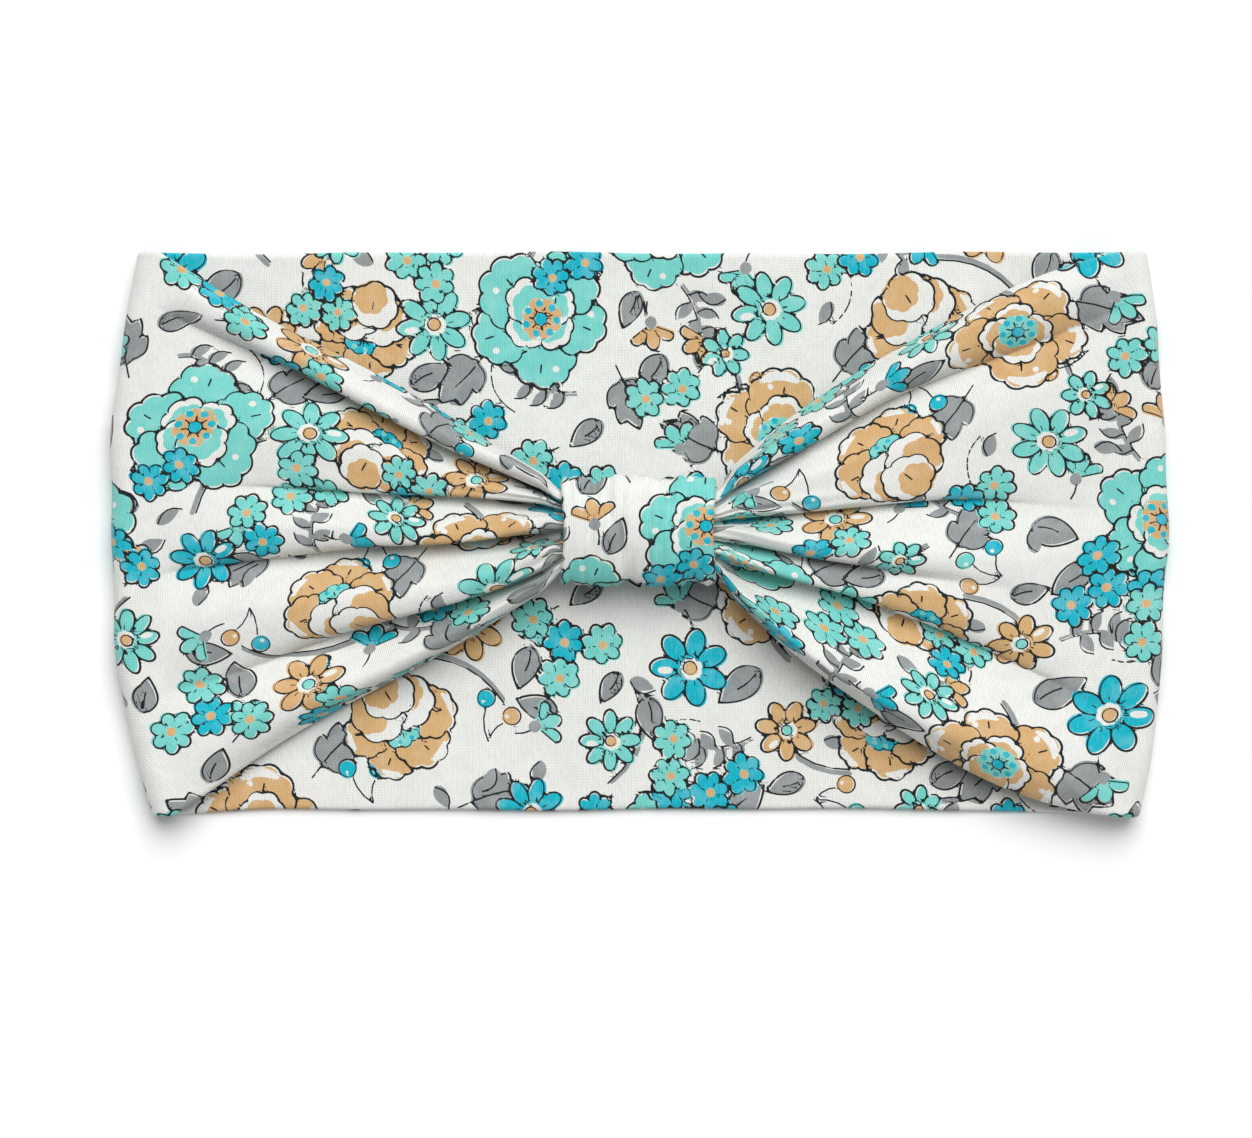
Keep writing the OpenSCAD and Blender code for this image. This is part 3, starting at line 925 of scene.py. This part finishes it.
class Nodes:  # a material's or group's node tree, with short calls to add and link nodes
    def __init__(self, tree):
        self.tree = tree

    def add(self, kind, **values):
        node = self.tree.nodes.new(kind)
        for key, value in values.items():
            setattr(node, key, value)
        return node

    def link(self, output, socket):
        self.tree.links.new(output, socket)

    def put(self, value, socket):
        if isinstance(value, bpy.types.NodeSocket):
            self.link(value, socket)
        else:
            socket.default_value = value

    def math(self, operation, a, b=0.0, c=0.0):
        node = self.add("ShaderNodeMath", operation=operation)
        for value, socket in zip((a, b, c), node.inputs):
            self.put(value, socket)
        return node.outputs[0]

    def ramp(self, value, low, high, first=0.0, last=1.0):
        node = self.add("ShaderNodeMapRange", interpolation_type="SMOOTHSTEP")
        names = ("Value", "From Min", "From Max", "To Min", "To Max")
        for number, name in zip((value, low, high, first, last), names):
            self.put(number, node.inputs[name])
        return node.outputs[0]

    def noise(self, vector, scale, detail):
        node = self.add("ShaderNodeTexNoise")
        node.inputs["Scale"].default_value = scale
        node.inputs["Detail"].default_value = detail
        self.link(vector, node.inputs["Vector"])
        return node.outputs["Fac"]

    def stretched(self, vector, scale, turn=0.0):  # turned by some degrees and scaled along each axis
        node = self.add("ShaderNodeMapping")
        node.inputs["Rotation"].default_value = (0.0, 0.0, math.radians(turn))
        node.inputs["Scale"].default_value = scale
        self.link(vector, node.inputs["Vector"])
        return node.outputs[0]

    def split(self, vector):
        node = self.add("ShaderNodeSeparateXYZ")
        self.link(vector, node.inputs[0])
        return node.outputs

    def bump(self, height, strength, distance, shader):
        node = self.add("ShaderNodeBump")
        node.inputs["Strength"].default_value = strength
        node.inputs["Distance"].default_value = distance
        self.link(height, node.inputs["Height"])
        self.link(node.outputs[0], shader.inputs["Normal"])

    def blend(self, share, a, b, mode="MIX"):
        node = self.add("ShaderNodeMix", data_type="RGBA", blend_type=mode)
        self.put(share, node.inputs["Factor"])
        self.put(a, [s for s in node.inputs if s.name == "A" and s.type == "RGBA"][0])
        self.put(b, [s for s in node.inputs if s.name == "B" and s.type == "RGBA"][0])
        return [s for s in node.outputs if s.type == "RGBA"][0]


def knitGroup():  # rows of V stitches, as a height from 0 to 1, from cloth coordinates in millimetres
    group = bpy.data.node_groups.new("knitStitches", "ShaderNodeTree")
    group.interface.new_socket("Cloth", in_out="INPUT", socket_type="NodeSocketVector")
    for name in ("Rib", "Course"):
        group.interface.new_socket(name, in_out="INPUT", socket_type="NodeSocketFloat")
    group.interface.new_socket("Height", in_out="OUTPUT", socket_type="NodeSocketFloat")
    n = Nodes(group)
    into, out = n.add("NodeGroupInput"), n.add("NodeGroupOutput")
    cloth = n.split(into.outputs["Cloth"])
    across = n.math("PINGPONG", n.math("DIVIDE", cloth[0], into.outputs["Rib"]), 0.5)
    slant = n.math("MULTIPLY_ADD", across, 1.6, n.math("DIVIDE", cloth[1], into.outputs["Course"]))
    yarn = n.math("MULTIPLY_ADD", n.math("SINE", n.math("MULTIPLY", slant, 2 * math.pi)), 0.3, 0.7)
    column = n.math("SINE", n.math("MULTIPLY", across, 2 * math.pi))
    n.link(n.math("MULTIPLY", n.math("POWER", n.math("ABSOLUTE", column), 0.6), yarn), out.inputs["Height"])
    return group


knit = knitGroup()


def jerseyMaterial():
    material = bpy.data.materials.new("printedJersey")
    material.use_nodes = True
    n = Nodes(material.node_tree)
    shader = material.node_tree.nodes["Principled BSDF"]
    cloth = n.add("ShaderNodeUVMap", uv_map="cloth").outputs[0]
    bleed = n.noise(cloth, 2.2, 3.0)
    patch = n.noise(cloth, 0.22, 2.0)
    streak = n.noise(n.stretched(cloth, (2.4, 0.5, 1.0)), 0.8, 3.0)
    slub = n.noise(n.stretched(cloth, (2.6, 0.5, 1.0), 20), 1.0, 4.0)

    # The colours, one over the other, each thinned out in patches and streaks.
    fill = n.split(n.add("ShaderNodeAttribute", attribute_name="printFill").outputs["Vector"])
    greyFill = n.add("ShaderNodeAttribute", attribute_name="printGrey").outputs["Fac"]
    wobble = n.math("MULTIPLY_ADD", bleed, jersey["bleed"], -jersey["bleed"] / 2)
    thin = n.math("ADD", n.ramp(patch, 0.42, 0.68, 0.0, 0.6), n.ramp(streak, 0.45, 0.7, 0.0, 0.4))
    cover = n.math("MULTIPLY_ADD", thin, -jersey["fade"], 1.0)
    colour = jersey["ground"]
    for name, distance in (("grey", greyFill), ("tan", fill[2]), ("mint", fill[0]), ("teal", fill[1])):
        share = n.ramp(n.math("ADD", distance, wobble), jersey["soft"], -jersey["soft"])
        colour = n.blend(n.math("MULTIPLY", share, cover), colour, jersey[name])

    # The ink lines: the way to the nearest one is shorter than half its width.
    ink = n.split(n.add("ShaderNodeAttribute", attribute_name="printInk").outputs["Vector"])
    length = n.math("SQRT", n.math("MULTIPLY_ADD", ink[0], ink[0], n.math("MULTIPLY", ink[1], ink[1])))
    width = n.math("MULTIPLY_ADD", bleed, jersey["inkBleed"], jersey["inkWidth"] - jersey["inkBleed"] / 2)
    width = n.math("SUBTRACT", width, n.ramp(patch, 0.56, 0.66, 0.0, jersey["skip"]))
    line = n.ramp(n.math("SUBTRACT", length, width), jersey["soft"], -jersey["soft"])
    near = n.ramp(ink[2], inkReach, inkReach - jersey["inkFade"])
    colour = n.blend(n.math("MULTIPLY", line, near), colour, jersey["ink"])

    # The knit: painted shade between its stitches, darker where their height is low, times uneven tone in
    # patches and in the yarn.
    stitches = n.add("ShaderNodeGroup")
    stitches.node_tree = knit
    n.link(cloth, stitches.inputs["Cloth"])
    stitches.inputs["Rib"].default_value = jersey["rib"]
    stitches.inputs["Course"].default_value = jersey["course"]
    height = stitches.outputs["Height"]
    shade = n.ramp(height, 0.0, 0.8, jersey["gap"], 1.03)
    shade = n.math("MULTIPLY", shade, n.ramp(patch, 0.3, 0.7, 0.97, 1.02))
    shade = n.math("MULTIPLY", shade, n.ramp(slub, 0.3, 0.7, 1 - jersey["slub"], 1 + jersey["slub"]))
    dark = n.add("ShaderNodeCombineXYZ")
    for k in range(3):
        n.link(shade, dark.inputs[k])
    n.link(n.blend(1.0, colour, dark.outputs[0], "MULTIPLY"), shader.inputs["Base Color"])
    n.bump(height, jersey["bump"], 0.0002, shader)
    shader.inputs["Roughness"].default_value = jersey["roughness"]
    shader.inputs["Specular IOR Level"].default_value = 0.25
    shader.inputs["Sheen Weight"].default_value = jersey["sheen"]
    shader.inputs["Sheen Roughness"].default_value = 0.5
    return material


thread = {
    "colour": srgb(232, 231, 226),
    "shade": (0.6, 0.59, 0.55, 1),    # painted shade between two turns of the twist
    "twist": 900.0,                   # how close together those turns are
    "roughness": 0.6,
}


def threadMaterial():
    material = bpy.data.materials.new("sewingThread")
    material.use_nodes = True
    n = Nodes(material.node_tree)
    shader = material.node_tree.nodes["Principled BSDF"]
    place = n.add("ShaderNodeTexCoord").outputs["Object"]
    wave = n.add("ShaderNodeTexWave", bands_direction="DIAGONAL")
    wave.inputs["Scale"].default_value = thread["twist"]
    n.link(place, wave.inputs["Vector"])
    # Painted shade in the groove between the turns of the twist, and a bump from the same waves.
    n.link(n.blend(wave.outputs["Fac"], thread["shade"], thread["colour"]), shader.inputs["Base Color"])
    n.bump(wave.outputs["Fac"], 0.3, 0.0001, shader)
    shader.inputs["Roughness"].default_value = thread["roughness"]
    return material


def setMaterial(piece, material):
    piece.data.materials.clear()
    piece.data.materials.append(material)


studio = {
    "viewWidth": 0.2826,                   # how much the view takes in, in metres
    "viewHeight": 0.009,                   # height at which it takes in that much
    "distance": 1.5,                       # from there to the camera
    "aim": (-0.0028, -0.0086),             # X and Y at the middle of the view
    "floorColour": srgb(250, 250, 250),
    "world": 0.31,                         # light from all round
    "key": 2.8,                            # strength of the main light
    "keySpread": 50,                       # degrees across it, which softens its shadows
    "keyTilt": -32,                        # degrees from overhead, coming from the far side
    "keyTurn": -12,                        # degrees round the upright
}


def makeCamera():  # straight above the table
    data = bpy.data.cameras.new("camera")
    data.sensor_width = 36
    data.lens = 36 * studio["distance"] / studio["viewWidth"]
    data.clip_start, data.clip_end = 0.05, 20
    camera = bpy.data.objects.new("camera", data)
    x, y = studio["aim"]
    camera.location = (x, y, studio["distance"] + studio["viewHeight"])
    bpy.context.scene.collection.objects.link(camera)
    bpy.context.scene.camera = camera


def makeStudio():
    mesh = bpy.data.meshes.new("floor")
    mesh.from_pydata([(-4, -4, 0), (4, -4, 0), (4, 4, 0), (-4, 4, 0)], [], [(0, 1, 2, 3)])
    floor = bpy.data.objects.new("floor", mesh)
    floor.location.z = -0.0001
    bpy.context.scene.collection.objects.link(floor)
    material = bpy.data.materials.new("paleFloor")
    material.use_nodes = True
    shader = material.node_tree.nodes["Principled BSDF"]
    shader.inputs["Base Color"].default_value = studio["floorColour"]
    shader.inputs["Roughness"].default_value = 0.9
    shader.inputs["Specular IOR Level"].default_value = 0.1
    setMaterial(floor, material)
    world = bpy.data.worlds.new("studioLight")
    bpy.context.scene.world = world
    world.use_nodes = True
    background = world.node_tree.nodes["Background"]
    background.inputs["Color"].default_value = (1, 1, 1, 1)
    background.inputs["Strength"].default_value = studio["world"]
    light = bpy.data.lights.new("key", "SUN")
    light.energy = studio["key"]
    light.angle = math.radians(studio["keySpread"])
    key = bpy.data.objects.new("key", light)
    key.rotation_euler = (math.radians(studio["keyTilt"]), 0, math.radians(studio["keyTurn"]))
    bpy.context.scene.collection.objects.link(key)
    bpy.context.scene.view_settings.view_transform = "Standard"


makeCamera()
makeStudio()
print("camera, floor and light are set")

printed = jerseyMaterial()
stitching = threadMaterial()
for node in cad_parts.values():
    setMaterial(node, stitching)

upper, lower, upperCloth, lowerCloth = backSurface()
backCloth = flatTube("back_cloth", upper, lower, upperCloth, lowerCloth)
setMaterial(backCloth, printed)
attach(backCloth, "back")
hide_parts("back_panel", "left_side_fold", "right_side_fold", "seam_allowance")
print("the back and the lower half of the side folds are laid")

for side, name in ((-1, "left"), (1, "right")):
    upper, under, upperCloth, underCloth = frontSurface(side)
    piece = flatTube(f"front_{name}_cloth", upper, under, upperCloth, underCloth)
    setMaterial(piece, printed)
    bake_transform(piece)
    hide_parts(f"front_{name}_panel")
    print(f"the {name} half of the front is gathered")

wrap = wrapMesh()
setMaterial(wrap, printed)
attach(wrap, "front")
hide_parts("centre_wrap")
print("the wrap is on")
